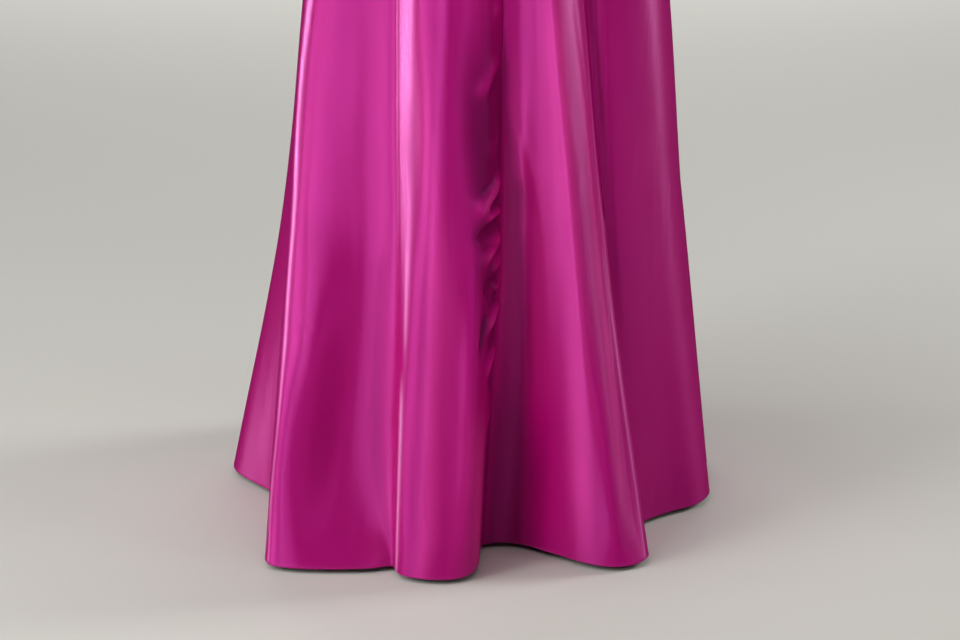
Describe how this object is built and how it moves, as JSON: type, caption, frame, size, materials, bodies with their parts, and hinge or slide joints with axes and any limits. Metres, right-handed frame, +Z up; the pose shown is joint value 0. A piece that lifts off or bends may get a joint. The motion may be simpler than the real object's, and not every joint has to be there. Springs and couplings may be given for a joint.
{
  "type": "evening gown",
  "caption": "Floor-length fuchsia satin evening gown in its worn, hollow form: strapped bodice with cups and an A-line skirt of flared gores hanging in deep soft folds.",
  "frame": {"origin": "midway between the tops of the two shoulder straps, where the wearer's shoulders hold the gown up", "axes": "+Z up, the gown's front faces -Y, +X to the left of the wearer and to the right of someone facing the gown"},
  "size_m": [0.6277, 0.6207, 1.4698],
  "materials": {
    "satin": "duchess satin, close dense weave with a soft broad sheen",
    "zip_tape": "woven tape and fine coil, matt",
    "zip_metal": "lacquered to match the cloth, semi-gloss"
  },
  "bodies": {
    "gown": {"skirt_front_left": "satin", "skirt_front_right": "satin", "skirt_back_right": "satin", "skirt_back_left": "satin", "bodice_front": "satin", "bodice_back_right": "satin", "bodice_back_left": "satin", "strap_left": "satin", "strap_right": "satin", "zip_chain": "zip_tape", "zip_slider": "zip_metal"},
    "pull_tab": {"zip_pull": "zip_metal"}
  },
  "joints": [
    {"name": "pull_swing", "type": "hinge", "parent": "gown", "child": "pull_tab", "pos_m": [0, 0.10536, -0.15], "axis": [1, 0, 0], "range_deg": [0, 165]}
  ]
}
